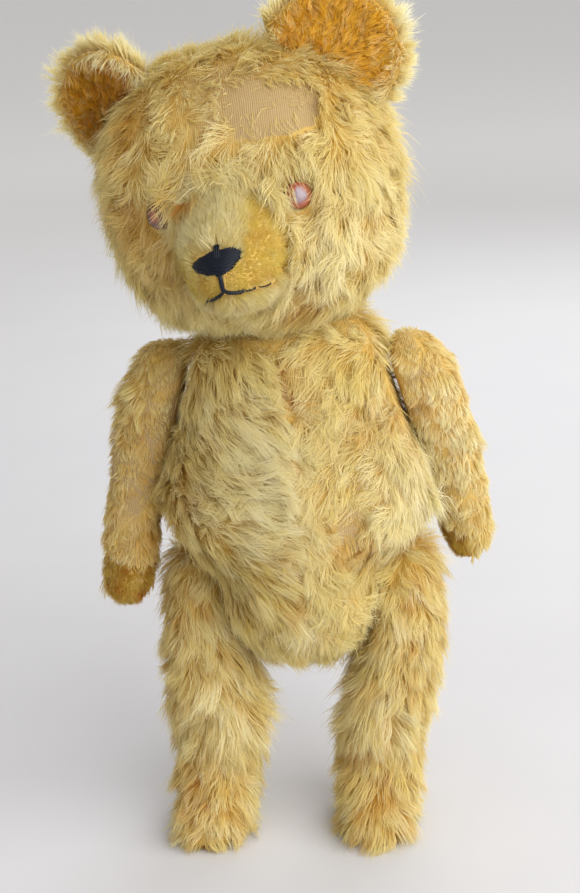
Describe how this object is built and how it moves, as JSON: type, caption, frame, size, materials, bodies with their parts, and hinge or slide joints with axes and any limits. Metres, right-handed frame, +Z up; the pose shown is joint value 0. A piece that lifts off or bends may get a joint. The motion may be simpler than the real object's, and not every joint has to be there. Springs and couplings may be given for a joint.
{
  "type": "threadbare teddy bear",
  "caption": "Old jointed teddy bear of worn golden mohair, with disc joints at neck, shoulders and hips, cupped ears, an inset muzzle and a stitched nose, standing on flat soles.",
  "frame": {"origin": "on the floor, midway across the bear's width and depth", "axes": "+Z up, -Y where the bear's chest faces, +X to the bear's own left"},
  "size_m": [0.1721, 0.1352, 0.3654],
  "materials": {
    "mohair": "long straw-gold pile on a woven backing, worn thin in places",
    "short_pile": "short golden pile of the muzzle, ear linings and pads",
    "wood_wool": "firm packed fine wood shavings, out of sight",
    "glass": "brown glass, clouded with age",
    "floss": "blue-black satin stitch",
    "fibreboard": "hard pressed fibre discs inside the joints",
    "steel": "plain wire and washers inside the joints"
  },
  "bodies": {
    "torso": {"hip_left_torso_disc": "fibreboard", "hip_left_torso_washer": "steel", "hip_right_torso_disc": "fibreboard", "hip_right_torso_washer": "steel", "neck_torso_disc": "fibreboard", "neck_torso_washer": "steel", "shoulder_left_torso_disc": "fibreboard", "shoulder_left_torso_washer": "steel", "shoulder_right_torso_disc": "fibreboard", "shoulder_right_torso_washer": "steel", "torso_left": "mohair", "torso_right": "mohair", "torso_stuffing": "wood_wool"},
    "head": {"ear_back_left": "mohair", "ear_back_right": "mohair", "ear_lining_left": "short_pile", "ear_lining_right": "short_pile", "eye_left": "glass", "eye_right": "glass", "head_gusset": "mohair", "head_side_left": "mohair", "head_side_right": "mohair", "head_stuffing": "wood_wool", "mouth": "floss", "muzzle": "short_pile", "neck_outer_disc": "fibreboard", "neck_outer_washer": "steel", "neck_pin": "steel", "nose": "floss"},
    "arm_left": {"arm_left_inner": "mohair", "arm_left_outer": "mohair", "arm_left_stuffing": "wood_wool", "paw_pad_left": "short_pile", "shoulder_left_outer_disc": "fibreboard", "shoulder_left_outer_washer": "steel", "shoulder_left_pin": "steel"},
    "arm_right": {"arm_right_inner": "mohair", "arm_right_outer": "mohair", "arm_right_stuffing": "wood_wool", "paw_pad_right": "short_pile", "shoulder_right_outer_disc": "fibreboard", "shoulder_right_outer_washer": "steel", "shoulder_right_pin": "steel"},
    "leg_left": {"hip_left_outer_disc": "fibreboard", "hip_left_outer_washer": "steel", "hip_left_pin": "steel", "leg_left_inner": "mohair", "leg_left_outer": "mohair", "leg_left_stuffing": "wood_wool", "sole_pad_left": "short_pile"},
    "leg_right": {"hip_right_outer_disc": "fibreboard", "hip_right_outer_washer": "steel", "hip_right_pin": "steel", "leg_right_inner": "mohair", "leg_right_outer": "mohair", "leg_right_stuffing": "wood_wool", "sole_pad_right": "short_pile"}
  },
  "joints": [
    {"name": "neck", "type": "hinge", "parent": "torso", "child": "head", "pos_m": [-0.003, 0.021, 0.2355], "axis": [-0.1301, -0.0785, 0.9884], "continuous": true},
    {"name": "shoulder_left", "type": "hinge", "parent": "torso", "child": "arm_left", "pos_m": [0.0435, 0.021, 0.206], "axis": [-0.9659, 0, -0.2588], "range_deg": [-110, 105]},
    {"name": "shoulder_right", "type": "hinge", "parent": "torso", "child": "arm_right", "pos_m": [-0.0435, 0.021, 0.206], "axis": [-0.9659, 0, 0.2588], "range_deg": [-110, 105]},
    {"name": "hip_left", "type": "hinge", "parent": "torso", "child": "leg_left", "pos_m": [0.031, 0.023, 0.112], "axis": [-0.9848, 0, 0.1736], "range_deg": [-90, 90]},
    {"name": "hip_right", "type": "hinge", "parent": "torso", "child": "leg_right", "pos_m": [-0.031, 0.023, 0.112], "axis": [-0.9848, 0, -0.1736], "range_deg": [-90, 90]}
  ]
}
